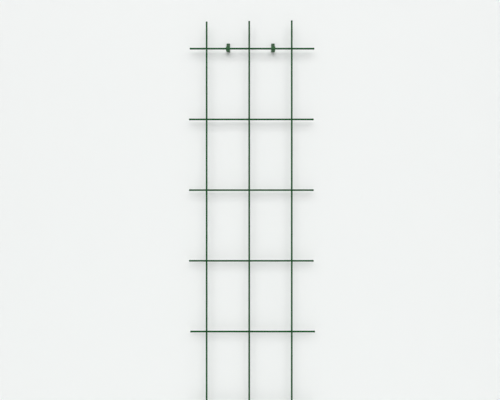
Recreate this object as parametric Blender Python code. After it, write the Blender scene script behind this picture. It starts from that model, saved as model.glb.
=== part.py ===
"""Garden trellis of green coated wire, hung on four moulded wall holders.

The wall is the plane Y = 0 and lies on the +Y side. The viewer is on the -Y side, +X is to the right
and +Z is up. The origin lies on the wall plane, at the middle of an even rail's length and
halfway between the top and bottom rails. All lengths are in metres.

Three uprights stand in front of seven cross rails and are welded to them. The top and bottom rails rest
in the hooks of the holders, and the whole panel lifts straight up out of them.
"""

import math

import bmesh
import bpy
from mathutils import Matrix, Vector

# The panel: spacings, overhangs and wire sizes over the coating
UPRIGHT_PITCH = 0.150
RAIL_PITCH = 0.250
LEFT_OVERHANG = 0.063
RIGHT_OVERHANG = 0.078
TOP_OVERHANG = 0.098
BOTTOM_OVERHANG = 0.202
UPRIGHT_DIAMETER = 0.006
RAIL_DIAMETER = 0.006
UPRIGHT_NAMES = ("left", "middle", "right")
RAIL_COUNT = 7

# The wires aren't cut and laid quite evenly: how much lower than the right upright's the tops of the
# other two are, and how far to the right two of the rails lie
LEFT_TOP_SHORTFALL = 0.004
MIDDLE_TOP_SHORTFALL = 0.002
FIRST_RAIL_SHIFT = 0.0025
FIFTH_RAIL_SHIFT = 0.0045

# Where a rail and an upright are welded: how far they sink into each other, how much the coating
# thickens against the upright, and how far from it the thickening starts
SET_DOWN = 0.0008
WELD_SWELL = 0.0020
WELD_SWELL_REACH = 0.0040
WELD_RING_SHARES = (-1, -0.68, -0.46, -0.22, 0.22, 0.46, 0.68, 1)

# The coating at the cut ends of the wires
END_BEAD = 0.00025
BEAD_LENGTH = 0.006
END_DOME = 0.0020

# Gaps: between touching pieces, and between the wall and the rails' middle line
CLEARANCE = 0.0003
STAND_OFF = 0.025

# The holder's wall plate
PLATE_THICKNESS = 0.0035
PLATE_BESIDE_SCREW = 0.0016
PLATE_ABOVE_SCREW = 0.0065
PLATE_BELOW_RAIL = 0.0045
PLATE_CORNER = 0.0016

# The holder's arm and hook
HOOK_WIDTH = 0.014
HOOK_THICKNESS = 0.0037
LIP_ABOVE_RAIL = 0.0028
LIP_TIP_THICKNESS = 0.0030
LIP_FLARE = 0.0007
LIP_CORNER = 0.0020
SEAT_BACK_ABOVE_RAIL = 0.0005
SEAT_BACK_THICKNESS = 0.0030
ARM_TOP_ABOVE_RAIL_MIDDLE = 0.0006
ARM_FILLET = 0.0040
ARM_POCKET_HEIGHT = 0.0021
ARM_POCKET_MARGIN = 0.0018
ARM_WEB_THICKNESS = 0.0032
GUSSET_THICKNESS = 0.0026
GUSSET_RISE = 0.0110
GUSSET_SHORT_OF_SEAT = 0.0042
GUSSET_STEPS = 6
EDGE_ROUNDING = 0.0003
EDGE_ROUNDING_STEPS = 2

# The screw
SCREW_ABOVE_RAIL = 0.0190
SCREW_LENGTH = 0.040
SHANK_DIAMETER = 0.0035
HEAD_DIAMETER = 0.0070
HEAD_RIM = 0.0003
HEAD_SINK = 0.0002
TIP_LENGTH = 0.006
TIP_BLUNTNESS = 0.0006
RECESS_SPAN = 0.0036
RECESS_BOTTOM_SPAN = 0.0013
RECESS_SLOT = 0.0008
RECESS_DEPTH = 0.0014

# The wall plug
PLUG_WALL = 0.00095
PLUG_LENGTH = 0.030
PLUG_COLLAR_RIM = 0.0008
PLUG_COLLAR_THICKNESS = 0.0008
PLUG_NOSE_LENGTH = 0.004
PLUG_NOSE_TAPER = 0.0004
PLUG_RING_COUNT = 4
PLUG_RING_HEIGHT = 0.0004
PLUG_RING_FLANK_SHARE = 0.15
PLUG_SPLIT_WIDTH = 0.0012
PLUG_SPLIT_START = 0.010
PLUG_FIN_HEIGHT = 0.0011
PLUG_FIN_LENGTH = 0.008
PLUG_FIN_THICKNESS = 0.0008
PLUG_RELIEF_DEPTH = 0.0005

# How far each column of holders lies from the middle of its bay between two uprights
LEFT_HOLDER_SHIFT = 0.0
RIGHT_HOLDER_SHIFT = 0.010

# Facets of round shapes, and how far a cutter runs past what it cuts
UPRIGHT_SIDES = 20
RAIL_SIDES = 14
SCREW_SIDES = 16
PLUG_SIDES = 12
DOME_STEPS = 3
ARC_STEP_DEGREES = 18
SHARP_EDGE_DEGREES = 32
CUT_MARGIN = 0.004
MERGE_DISTANCE = 0.000001
EMPTY_SIZE = 0.03

# What follows from the sizes above
UPRIGHT_RADIUS = UPRIGHT_DIAMETER / 2
RAIL_RADIUS = RAIL_DIAMETER / 2
SHANK_RADIUS = SHANK_DIAMETER / 2
HEAD_RADIUS = HEAD_DIAMETER / 2
RAIL_LENGTH = LEFT_OVERHANG + UPRIGHT_PITCH * (len(UPRIGHT_NAMES) - 1) + RIGHT_OVERHANG
RAIL_SPAN = RAIL_PITCH * (RAIL_COUNT - 1)
LONGEST_UPRIGHT = TOP_OVERHANG + RAIL_SPAN + BOTTOM_OVERHANG
TOP_SHORTFALLS = {0: LEFT_TOP_SHORTFALL, 1: MIDDLE_TOP_SHORTFALL}
RAIL_SHIFTS = {0: FIRST_RAIL_SHIFT, 4: FIFTH_RAIL_SHIFT}
WELD_OFFSET = UPRIGHT_RADIUS + RAIL_RADIUS - SET_DOWN
SEAT_RADIUS = RAIL_RADIUS + CLEARANCE
HOOK_RADIUS = SEAT_RADIUS + HOOK_THICKNESS
LIP_FRONT = STAND_OFF + HOOK_RADIUS
LIP_TOP = RAIL_RADIUS + LIP_ABOVE_RAIL
SEAT_BACK = STAND_OFF - SEAT_RADIUS - SEAT_BACK_THICKNESS
SCREW_BORE = SHANK_RADIUS + CLEARANCE
COUNTERSINK = HEAD_RADIUS + HEAD_SINK + HEAD_RIM + CLEARANCE * math.sqrt(2)
PLATE_WIDTH = 2 * (COUNTERSINK + PLATE_BESIDE_SCREW)
PLATE_TOP = SCREW_ABOVE_RAIL + PLATE_ABOVE_SCREW
PLUG_RADIUS = SCREW_BORE + PLUG_WALL
PLUG_START = CLEARANCE
PLUG_END = PLUG_START + PLUG_LENGTH
PLUG_RELIEF = PLUG_RADIUS + max(PLUG_COLLAR_RIM, PLUG_FIN_HEIGHT) + CLEARANCE


def upright_x(index):
    return -RAIL_LENGTH / 2 + LEFT_OVERHANG + UPRIGHT_PITCH * index


def rail_z(index):
    return RAIL_SPAN / 2 - RAIL_PITCH * index


def clear_scene():
    for item in list(bpy.data.objects):
        bpy.data.objects.remove(item, do_unlink=True)


def make_material(name, colour, roughness, metallic=0.0):
    material = bpy.data.materials.new(name)
    material.use_nodes = True
    shader = material.node_tree.nodes["Principled BSDF"]
    shader.inputs["Base Color"].default_value = (*colour, 1.0)
    shader.inputs["Roughness"].default_value = roughness
    shader.inputs["Metallic"].default_value = metallic
    material.diffuse_color = (*colour, 1.0)
    return material


def coated_wire_material(name):
    return make_material(name, (0.045, 0.110, 0.056), 0.42)


def holder_material(name):
    return make_material(name, (0.058, 0.145, 0.070), 0.50)


def screw_material(name):
    return make_material(name, (0.030, 0.070, 0.038), 0.38, 0.3)


def plug_material(name):
    return make_material(name, (0.42, 0.43, 0.42), 0.55)


def make_empty(name, location):
    empty = bpy.data.objects.new(name, None)
    empty.empty_display_size = EMPTY_SIZE
    empty.location = location
    bpy.context.scene.collection.objects.link(empty)
    return empty


def add_object(name, mesh, parent=None, location=(0, 0, 0), material=None):
    obj = bpy.data.objects.new(name, mesh)
    bpy.context.scene.collection.objects.link(obj)
    obj.parent = parent
    obj.location = location
    if material is not None:
        obj.material_slots[0].link = "OBJECT"
        obj.material_slots[0].material = material
    return obj


def mesh_of(bm, name):
    """The finished mesh, smooth but for its real edges, with one slot for its object's material."""
    bmesh.ops.recalc_face_normals(bm, faces=bm.faces)
    mesh = bpy.data.meshes.new(name)
    bm.to_mesh(mesh)
    bm.free()
    mesh.materials.append(None)
    mesh.shade_smooth()
    mesh.set_sharp_from_angle(angle=math.radians(SHARP_EDGE_DEGREES))
    return mesh


def guide(name, bm):
    """A helper solid for a Boolean, kept out of renders."""
    obj = add_object(name, mesh_of(bm, name))
    obj.hide_render = True
    obj.display_type = "WIRE"
    return obj


def add_boolean(obj, other, operation):
    modifier = obj.modifiers.new(other.name, "BOOLEAN")
    modifier.operation = operation
    modifier.solver = "EXACT"
    modifier.object = other


def baked(obj, name):
    """The mesh that the object's modifiers give, for copies of the piece to share."""
    bpy.context.view_layer.update()
    graph = bpy.context.evaluated_depsgraph_get()
    mesh = bpy.data.meshes.new_from_object(obj.evaluated_get(graph), depsgraph=graph)
    mesh.name = name
    mesh.materials.clear()
    mesh.materials.append(None)
    mesh.shade_smooth()
    mesh.set_sharp_from_angle(angle=math.radians(SHARP_EDGE_DEGREES))
    return mesh


def arc(centre, radius, start, end):
    """Points of a circle from one angle to another, in degrees, the way the angles run."""
    steps = max(2, math.ceil(abs(end - start) / ARC_STEP_DEGREES))
    points = []
    for step in range(steps + 1):
        angle = math.radians(start + (end - start) * step / steps)
        points.append((centre[0] + radius * math.cos(angle), centre[1] + radius * math.sin(angle)))
    return points


def lathe(bm, profile, sides):
    """Turns (radius, height) points about Z. The profile starts and ends on the axis."""
    verts = [bm.verts.new((radius, 0, height)) for radius, height in profile]
    edges = [bm.edges.new(pair) for pair in zip(verts, verts[1:])]
    bmesh.ops.spin(
        bm,
        geom=verts + edges,
        cent=(0, 0, 0),
        axis=(0, 0, 1),
        angle=2 * math.pi,
        steps=sides,
        use_merge=True,
        use_duplicate=False,
    )
    bmesh.ops.remove_doubles(bm, verts=bm.verts, dist=MERGE_DISTANCE)


def prism(bm, outline, axis, low, high):
    """A closed outline pushed along one axis from low to high. It lies across the other two axes."""
    places = {
        "X": lambda a, b: (low, a, b),
        "Y": lambda a, b: (a, low, b),
        "Z": lambda a, b: (a, b, low),
    }
    shifts = {"X": (high - low, 0, 0), "Y": (0, high - low, 0), "Z": (0, 0, high - low)}
    face = bm.faces.new([bm.verts.new(places[axis](a, b)) for a, b in outline])
    pushed = bmesh.ops.extrude_face_region(bm, geom=[face])["geom"]
    moved = [item for item in pushed if isinstance(item, bmesh.types.BMVert)]
    bmesh.ops.translate(bm, verts=moved, vec=shifts[axis])


def side_prism(bm, outline, width, middle=0.0):
    """A side outline in (distance from the wall, height), as wide as given along X."""
    turned = [(-reach, height) for reach, height in outline]
    prism(bm, turned, "X", middle - width / 2, middle + width / 2)


def point_out_of_wall(bm):
    """Turns what was made along +Z so that it points out of the wall, along -Y."""
    turn = Matrix.Rotation(math.pi / 2, 3, "X")
    bmesh.ops.rotate(bm, verts=bm.verts, cent=(0, 0, 0), matrix=turn)


def wire_end(radius):
    """A coated wire's end as (radius, distance from the tip), from the plain wire to the tip."""
    bead = radius + END_BEAD
    points = [(radius, BEAD_LENGTH)]
    for step in range(DOME_STEPS):
        angle = math.pi / 2 * step / DOME_STEPS
        points.append((bead * math.cos(angle), END_DOME * (1 - math.sin(angle))))
    points.append((0, 0))
    return points


def lathe_wire(bm, radius, length, ring_heights, sides):
    """A straight coated wire along Z, with a swollen, domed end at each cut and rings where asked."""
    half = length / 2
    top = [(across, half - depth) for across, depth in wire_end(radius)]
    bottom = [(across, -height) for across, height in reversed(top)]
    middle = [(radius, height) for height in ring_heights]
    lathe(bm, bottom + middle + top, sides)


def upright_mesh(length):
    bm = bmesh.new()
    lathe_wire(bm, UPRIGHT_RADIUS, length, [], UPRIGHT_SIDES)
    return mesh_of(bm, "upright")


def weld_rings():
    """Where along a rail the wire needs rings to take the swell of its coating at each upright."""
    reach = UPRIGHT_RADIUS + WELD_SWELL_REACH
    offsets = [reach * share for share in WELD_RING_SHARES]
    return [upright_x(index) + offset for index in range(len(UPRIGHT_NAMES)) for offset in offsets]


def swell_at_welds(bm):
    """Thickens a rail's coating the nearer it comes to an upright, and most where it touches it."""
    for vert in bm.verts:
        for index in range(len(UPRIGHT_NAMES)):
            apart = math.hypot(vert.co.x - upright_x(index), vert.co.y + WELD_OFFSET)
            gap = max(0, apart - UPRIGHT_RADIUS)
            nearness = max(0, 1 - gap / WELD_SWELL_REACH)
            outward = Vector((0, vert.co.y, vert.co.z)).normalized()
            vert.co += outward * WELD_SWELL * nearness**2


def rail_mesh(shift):
    """A rail along X, swollen at each weld and hollowed there to take the upright."""
    bm = bmesh.new()
    rings = [across - shift for across in weld_rings()]
    lathe_wire(bm, RAIL_RADIUS, RAIL_LENGTH, rings, RAIL_SIDES)
    turn = Matrix.Rotation(math.pi / 2, 3, "Y")
    bmesh.ops.rotate(bm, verts=bm.verts, cent=(0, 0, 0), matrix=turn)
    bmesh.ops.translate(bm, verts=bm.verts, vec=(shift, 0, 0))
    swell_at_welds(bm)
    rail = guide("rail_blank", bm)
    hollows = bmesh.new()
    reach = RAIL_RADIUS + WELD_SWELL + CUT_MARGIN
    for index in range(len(UPRIGHT_NAMES)):
        outline = arc((upright_x(index), -WELD_OFFSET), UPRIGHT_RADIUS + CLEARANCE, 0, 360)[:-1]
        prism(hollows, outline, "Z", -reach, reach)
    add_boolean(rail, guide("upright_hollows", hollows), "DIFFERENCE")
    return baked(rail, "cross_rail")


def underside_angle():
    """How steeply the arm's straight underside falls towards the hook it is tangent to, in radians."""
    slope = math.atan2(PLATE_BELOW_RAIL, STAND_OFF)
    return slope - math.asin(HOOK_RADIUS / math.hypot(STAND_OFF, PLATE_BELOW_RAIL))


def holder_outline():
    """The holder from the side, as (distance from the wall, height from the rail's middle line).

    It runs a little way into the wall, so that the back can be cut off flat after the edges are round.
    """
    rail = (STAND_OFF, 0)
    tip_radius = LIP_TIP_THICKNESS / 2
    tip = (STAND_OFF + SEAT_RADIUS + LIP_FLARE + tip_radius, LIP_TOP - tip_radius)
    crest_radius = SEAT_BACK_THICKNESS / 2
    crest = (SEAT_BACK + crest_radius, RAIL_RADIUS + SEAT_BACK_ABOVE_RAIL - crest_radius)
    inner_corner = (PLATE_THICKNESS + ARM_FILLET, ARM_TOP_ABOVE_RAIL_MIDDLE + ARM_FILLET)
    outline = [(-CUT_MARGIN, -PLATE_BELOW_RAIL), (0, -PLATE_BELOW_RAIL)]
    outline += arc(rail, HOOK_RADIUS, math.degrees(underside_angle()) - 90, 0)
    outline += arc(tip, tip_radius, 0, 180)
    outline += arc(rail, SEAT_RADIUS, 0, -180)
    outline += arc(crest, crest_radius, 0, 180)
    outline += [(SEAT_BACK - crest_radius, ARM_TOP_ABOVE_RAIL_MIDDLE)]
    outline += arc(inner_corner, ARM_FILLET, -90, -180)
    outline += [(PLATE_THICKNESS, PLATE_TOP), (-CUT_MARGIN, PLATE_TOP)]
    return outline


def half_width(reach):
    """Half the holder's width at a distance from the wall: it widens evenly towards the lip."""
    return (PLATE_WIDTH + (HOOK_WIDTH - PLATE_WIDTH) * reach / LIP_FRONT) / 2


def corner_cutters(name, top, radius, near, far):
    """What rounds the two top corners of a face seen from the front, between two distances."""
    half = PLATE_WIDTH / 2
    outer = half + CUT_MARGIN
    upper = top + CUT_MARGIN
    outline = arc((half - radius, top - radius), radius, 0, 90)
    outline += [(half - radius, upper), (outer, upper), (outer, top - radius)]
    bm = bmesh.new()
    for side in (-1, 1):
        prism(bm, [(side * across, height) for across, height in outline], "Y", -far, -near)
    for vert in bm.verts:
        vert.co.x += math.copysign(half_width(-vert.co.y) - PLATE_WIDTH / 2, vert.co.x)
    return guide(name, bm)


def behind_wall():
    """What cuts the holder's back flat, in the plane of the wall."""
    reach = PLATE_TOP + CUT_MARGIN
    bm = bmesh.new()
    outline = [(-reach, -reach), (reach, -reach), (reach, reach), (-reach, reach)]
    prism(bm, outline, "Y", 0, 2 * CUT_MARGIN)
    return guide("behind_wall", bm)


def holder_gusset():
    """The rib between the plate and the arm, with a hollow front edge."""
    sunk = PLATE_THICKNESS / 2
    base = ARM_TOP_ABOVE_RAIL_MIDDLE
    end = SEAT_BACK - GUSSET_SHORT_OF_SEAT
    outline = [(sunk, base - sunk), (end, base - sunk), (end, base)]
    for step in range(1, GUSSET_STEPS):
        angle = math.pi / 2 * step / GUSSET_STEPS
        reach = end - (end - PLATE_THICKNESS) * math.sin(angle)
        outline.append((reach, base + GUSSET_RISE * (1 - math.cos(angle))))
    outline += [(PLATE_THICKNESS, base + GUSSET_RISE), (sunk, base + GUSSET_RISE)]
    bm = bmesh.new()
    side_prism(bm, outline, GUSSET_THICKNESS)
    return guide("holder_gusset", bm)


def arm_pockets():
    """The long hollows in the arm's two sides, which leave a web between two flanges."""
    radius = ARM_POCKET_HEIGHT / 2
    near = PLATE_THICKNESS + ARM_POCKET_MARGIN + radius
    far = SEAT_BACK - radius
    fall = math.tan(underside_angle())
    near_middle = (ARM_TOP_ABOVE_RAIL_MIDDLE - PLATE_BELOW_RAIL + near * fall) / 2
    far_middle = near_middle + (far - near) * fall / 2
    outline = arc((near, near_middle), radius, 270, 90) + arc((far, far_middle), radius, 90, -90)
    bm = bmesh.new()
    for side in (-1, 1):
        side_prism(bm, outline, HOOK_WIDTH, side * (ARM_WEB_THICKNESS + HOOK_WIDTH) / 2)
    return guide("holder_pockets", bm)


def screw_hole():
    """The countersunk hole, with room all round the screw, and behind it a relief for the plug's head."""
    profile = [
        (0, -CUT_MARGIN),
        (PLUG_RELIEF, -CUT_MARGIN),
        (PLUG_RELIEF, PLUG_RELIEF_DEPTH),
        (SCREW_BORE, PLUG_RELIEF_DEPTH),
        (SCREW_BORE, PLATE_THICKNESS - (COUNTERSINK - SCREW_BORE)),
        (COUNTERSINK, PLATE_THICKNESS),
        (COUNTERSINK, PLATE_THICKNESS + CUT_MARGIN),
        (0, PLATE_THICKNESS + CUT_MARGIN),
    ]
    bm = bmesh.new()
    lathe(bm, profile, SCREW_SIDES)
    point_out_of_wall(bm)
    bmesh.ops.translate(bm, verts=bm.verts, vec=(0, 0, SCREW_ABOVE_RAIL))
    return guide("holder_screw_hole", bm)


def holder_mesh():
    """The moulded holder. Its origin is on the wall, at the height of the rail's middle line."""
    bm = bmesh.new()
    side_prism(bm, holder_outline(), PLATE_WIDTH)
    for vert in bm.verts:
        vert.co.x = math.copysign(half_width(-vert.co.y), vert.co.x)
    holder = guide("holder_blank", bm)
    rounding = holder.modifiers.new("moulded_edges", "BEVEL")
    rounding.width = EDGE_ROUNDING
    rounding.segments = EDGE_ROUNDING_STEPS
    rounding.limit_method = "ANGLE"
    rounding.angle_limit = math.radians(SHARP_EDGE_DEGREES)
    before_seat = (PLATE_THICKNESS + SEAT_BACK) / 2
    behind = -2 * CUT_MARGIN
    plate_corners = corner_cutters("plate_corners", PLATE_TOP, PLATE_CORNER, behind, before_seat)
    front = LIP_FRONT + CUT_MARGIN
    lip_corners = corner_cutters("lip_corners", LIP_TOP, LIP_CORNER, STAND_OFF, front)
    add_boolean(holder, plate_corners, "DIFFERENCE")
    add_boolean(holder, lip_corners, "DIFFERENCE")
    add_boolean(holder, behind_wall(), "DIFFERENCE")
    add_boolean(holder, holder_gusset(), "UNION")
    add_boolean(holder, arm_pockets(), "DIFFERENCE")
    add_boolean(holder, screw_hole(), "DIFFERENCE")
    return baked(holder, "wall_holder")


def recess_outline():
    """One slot of the cross recess from the side, narrower towards its bottom, as (across, height)."""
    face = PLATE_THICKNESS - HEAD_SINK
    half = RECESS_SPAN / 2
    bottom = RECESS_BOTTOM_SPAN / 2
    above = face + CUT_MARGIN
    depth = face - RECESS_DEPTH
    return [(-half, above), (-half, face), (-bottom, depth), (bottom, depth), (half, face), (half, above)]


def recess_slot(axis):
    bm = bmesh.new()
    prism(bm, recess_outline(), axis, -RECESS_SLOT / 2, RECESS_SLOT / 2)
    return guide("recess_slot_" + axis, bm)


def screw_mesh():
    """A countersunk screw. Its origin is where its axis meets the wall plane."""
    head = PLATE_THICKNESS - HEAD_SINK
    end = head - SCREW_LENGTH
    profile = [
        (0, end),
        (TIP_BLUNTNESS, end + TIP_BLUNTNESS),
        (SHANK_RADIUS, end + TIP_LENGTH),
        (SHANK_RADIUS, head - HEAD_RIM - (HEAD_RADIUS - SHANK_RADIUS)),
        (HEAD_RADIUS, head - HEAD_RIM),
        (HEAD_RADIUS, head),
        (0, head),
    ]
    bm = bmesh.new()
    lathe(bm, profile, SCREW_SIDES)
    screw = guide("screw_blank", bm)
    add_boolean(screw, recess_slot("X"), "DIFFERENCE")
    add_boolean(screw, recess_slot("Y"), "DIFFERENCE")
    mesh = baked(screw, "screw")
    mesh.transform(Matrix.Rotation(math.pi / 2, 4, "X"))
    return mesh


def plug_outside():
    """The plug's outside as (radius, depth): a collar, sawtooth rings and a tapered nose."""
    collar = PLUG_RADIUS + PLUG_COLLAR_RIM
    below_collar = PLUG_START + PLUG_COLLAR_THICKNESS
    first_ring = PLUG_START + PLUG_SPLIT_START
    nose = PLUG_END - PLUG_NOSE_LENGTH
    pitch = (nose - first_ring) / PLUG_RING_COUNT
    flank = PLUG_RING_FLANK_SHARE * pitch
    points = [(collar, PLUG_START), (collar, below_collar), (PLUG_RADIUS, below_collar)]
    for index in range(PLUG_RING_COUNT):
        foot = first_ring + pitch * index
        points += [(PLUG_RADIUS, foot), (PLUG_RADIUS + PLUG_RING_HEIGHT, foot + flank)]
    points += [(PLUG_RADIUS, nose), (PLUG_RADIUS - PLUG_NOSE_TAPER, PLUG_END)]
    return points


def plug_fins():
    """Two fins under the collar that stop the plug turning in its hole, as one cross piece."""
    top = PLUG_START + PLUG_COLLAR_THICKNESS / 2
    end = top + PLUG_FIN_LENGTH
    reach = PLUG_RADIUS + PLUG_FIN_HEIGHT
    slope = PLUG_FIN_HEIGHT
    right = [(PLUG_RADIUS, top), (reach, top + slope), (reach, end - slope), (PLUG_RADIUS, end)]
    left = [(-across, depth) for across, depth in reversed(right)]
    bm = bmesh.new()
    prism(bm, right + left, "Y", -PLUG_FIN_THICKNESS / 2, PLUG_FIN_THICKNESS / 2)
    return guide("plug_fins", bm)


def plug_bore():
    low = PLUG_START - CUT_MARGIN
    high = PLUG_END + CUT_MARGIN
    bm = bmesh.new()
    lathe(bm, [(0, low), (SCREW_BORE, low), (SCREW_BORE, high), (0, high)], PLUG_SIDES)
    return guide("plug_bore", bm)


def plug_split():
    """The slot that lets the plug's far end spread in the wall."""
    low = PLUG_START + PLUG_SPLIT_START
    high = PLUG_END + CUT_MARGIN
    across = PLUG_RADIUS + CUT_MARGIN
    bm = bmesh.new()
    outline = [(-across, low), (across, low), (across, high), (-across, high)]
    prism(bm, outline, "Y", -PLUG_SPLIT_WIDTH / 2, PLUG_SPLIT_WIDTH / 2)
    return guide("plug_split", bm)


def plug_mesh():
    """A wall plug. Its origin is where its axis meets the wall plane."""
    bm = bmesh.new()
    lathe(bm, [(0, PLUG_START)] + plug_outside() + [(0, PLUG_END)], PLUG_SIDES)
    plug = guide("plug_blank", bm)
    add_boolean(plug, plug_fins(), "UNION")
    add_boolean(plug, plug_bore(), "DIFFERENCE")
    add_boolean(plug, plug_split(), "DIFFERENCE")
    mesh = baked(plug, "wall_plug")
    mesh.transform(Matrix.Rotation(-math.pi / 2, 4, "X"))
    return mesh


def build_panel():
    """The rods, under an empty on the line along which the panel lifts."""
    lift = make_empty("panel_lift", (0, -STAND_OFF, 0))
    foot = rail_z(RAIL_COUNT - 1) - BOTTOM_OVERHANG
    for index, side in enumerate(UPRIGHT_NAMES):
        name = "upright_" + side
        length = LONGEST_UPRIGHT - TOP_SHORTFALLS.get(index, 0)
        place = (upright_x(index), -WELD_OFFSET, foot + length / 2)
        add_object(name, upright_mesh(length), lift, place, coated_wire_material(name))
    even_rail = rail_mesh(0)
    for index in range(RAIL_COUNT):
        name = f"cross_rail_{index + 1}"
        rail = rail_mesh(RAIL_SHIFTS[index]) if index in RAIL_SHIFTS else even_rail
        add_object(name, rail, lift, (0, 0, rail_z(index)), coated_wire_material(name))


def holder_columns():
    """The middle of each column of holders along X: near the middle of the outermost bays."""
    last = len(UPRIGHT_NAMES) - 1
    left_bay = (upright_x(0) + upright_x(1)) / 2
    right_bay = (upright_x(last - 1) + upright_x(last)) / 2
    return {"left": left_bay + LEFT_HOLDER_SHIFT, "right": right_bay + RIGHT_HOLDER_SHIFT}


def build_wall_fixings():
    """A holder, its screw and its plug at each of the four fixing points on the wall."""
    wall = make_empty("wall_fixings", (0, 0, 0))
    holder = holder_mesh()
    screw = screw_mesh()
    plug = plug_mesh()
    rows = {"top": rail_z(0), "bottom": rail_z(RAIL_COUNT - 1)}
    for row, height in rows.items():
        for side, across in holder_columns().items():
            tag = f"{row}_{side}"
            place = (across, 0, height)
            hole = (across, 0, height + SCREW_ABOVE_RAIL)
            add_object("holder_" + tag, holder, wall, place, holder_material("holder_" + tag))
            add_object("screw_" + tag, screw, wall, hole, screw_material("screw_" + tag))
            add_object("plug_" + tag, plug, wall, hole, plug_material("plug_" + tag))


def main():
    clear_scene()
    build_panel()
    build_wall_fixings()


main()
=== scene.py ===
"""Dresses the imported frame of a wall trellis: coated wires, moulded holders, screws, plugs and a stage.

The wall is the plane Y = 0, +X is to the right and +Z is up. All lengths are in metres. Every piece is
built where its solid in the frame is, and stands for that solid.
"""

import math
import random

import bmesh
import bpy
import numpy as np
from bpy.props import FloatProperty, FloatVectorProperty, IntProperty, PointerProperty
from mathutils import Matrix, Vector


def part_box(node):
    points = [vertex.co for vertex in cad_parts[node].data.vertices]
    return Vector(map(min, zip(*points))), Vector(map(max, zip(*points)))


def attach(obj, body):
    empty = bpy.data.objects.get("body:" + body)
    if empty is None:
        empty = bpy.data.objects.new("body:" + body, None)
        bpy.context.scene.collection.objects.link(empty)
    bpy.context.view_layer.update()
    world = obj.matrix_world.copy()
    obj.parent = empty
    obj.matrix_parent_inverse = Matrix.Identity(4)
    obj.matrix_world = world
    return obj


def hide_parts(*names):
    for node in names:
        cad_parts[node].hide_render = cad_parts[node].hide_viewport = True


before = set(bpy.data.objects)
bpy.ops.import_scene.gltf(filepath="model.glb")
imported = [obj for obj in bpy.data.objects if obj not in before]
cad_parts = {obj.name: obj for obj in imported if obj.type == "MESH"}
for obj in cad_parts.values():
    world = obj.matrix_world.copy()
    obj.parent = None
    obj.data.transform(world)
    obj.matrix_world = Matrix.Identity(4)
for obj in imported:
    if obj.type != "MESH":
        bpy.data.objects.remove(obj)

bl_info = {
    "name": "Garden trellis",
    "version": (1, 0, 0),
    "blender": (4, 5, 0),
    "location": "3D View > Sidebar > Trellis",
    "description": "Coated wires, wall holders, screws and plugs for a packed garden trellis",
    "category": "Object",
}


def nodes_named(start):
    """The frame's nodes whose names start so, in order."""
    return sorted(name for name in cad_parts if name.startswith(start))


def middle_of(node):
    """The middle of a node's box."""
    low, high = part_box(node)
    return (low + high) / 2


def extent_of(node):
    """How far a node reaches along X, Y and Z."""
    low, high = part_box(node)
    return high - low


UPRIGHTS, RAILS = nodes_named("upright_"), nodes_named("cross_rail_")
HOLDERS, SCREWS, PLUGS = nodes_named("holder_"), nodes_named("screw_"), nodes_named("plug_")

# Where the frame has its wires, and the ends of its screws and plugs
UPRIGHT_LINES = [Vector((middle_of(name).x, middle_of(name).y)) for name in UPRIGHTS]
RAIL_HEIGHTS = [middle_of(name).z for name in RAILS]
SCREW_FACE = -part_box(SCREWS[0])[0].y
SCREW_LENGTH = extent_of(SCREWS[0]).y
PLUG_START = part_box(PLUGS[0])[0].y
PLUG_END = PLUG_START + extent_of(PLUGS[0]).y

# How much wider a holder is at its lip than at its plate
HOLDER_WIDENING = 0.00195


def length(name, description, default):
    """A size, in metres."""
    return FloatProperty(
        name=name, description=description, default=default, min=0.0, precision=5, unit="LENGTH"
    )


def share(name, description, default):
    """A part of a whole, from 0 to 1."""
    return FloatProperty(
        name=name, description=description, default=default, min=0.0, max=1.0, subtype="FACTOR"
    )


def colour(name, description, default):
    """A colour, in linear light."""
    return FloatVectorProperty(
        name=name, description=description, default=default, size=3, min=0.0, max=1.0, subtype="COLOR"
    )


class TrellisWires(bpy.types.PropertyGroup):
    """Sizes and colours of the coated wires."""

    upright_diameter: length("Upright diameter", "Across an upright, over its coating", 0.006)
    rail_diameter: length("Rail diameter", "Across a cross rail, over its coating", 0.006)
    stand_off: length("Stand-off", "From the wall to the middle of the rails", 0.025)
    fillet: length("Weld fillet", "Radius of the coating where two wires are welded", 0.0012)
    bead: length("End bead", "How much thicker the coating is at a cut end", 0.00025)
    bead_length: length("End bead length", "How far along the wire the bead runs", 0.006)
    dome: length("End dome", "Height of the rounded tip", 0.0020)
    drip: length("Drip", "The coating that ran down and set below an upright", 0.0007)
    ripple: length("Ripple", "Unevenness of the coating along a wire", 0.00004)
    sides: IntProperty(name="Sides", description="Facets round a wire", default=36, min=8)
    green: colour("Green", "The coating's own colour", (0.0040, 0.062, 0.0120))
    faded: colour("Faded green", "The coating where sun and rain have worn it", (0.0080, 0.094, 0.0210))
    mottle: colour("Mottle", "Small darker patches of the coating", (0.003, 0.030, 0.008))
    rubbed: colour("Rubbed green", "Where something has rubbed on it", (0.022, 0.105, 0.034))
    scratched: colour("Scratches", "Along the drag marks", (0.060, 0.165, 0.075))
    # painted shade: the coating's pinholes are painted darker than the green
    pit_shade: colour("Pits", "In the coating's pinholes", (0.003, 0.016, 0.006))
    dust: colour("Dust", "What lies on the rails", (0.075, 0.088, 0.064))
    # partly real dirt, partly painted shade: the coating is painted darker near the welds
    grime_and_crease_shade: colour("Grime", "What settles at the welds", (0.022, 0.024, 0.016))
    roughness: share("Roughness", "Of the clean coating", 0.38)


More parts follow.
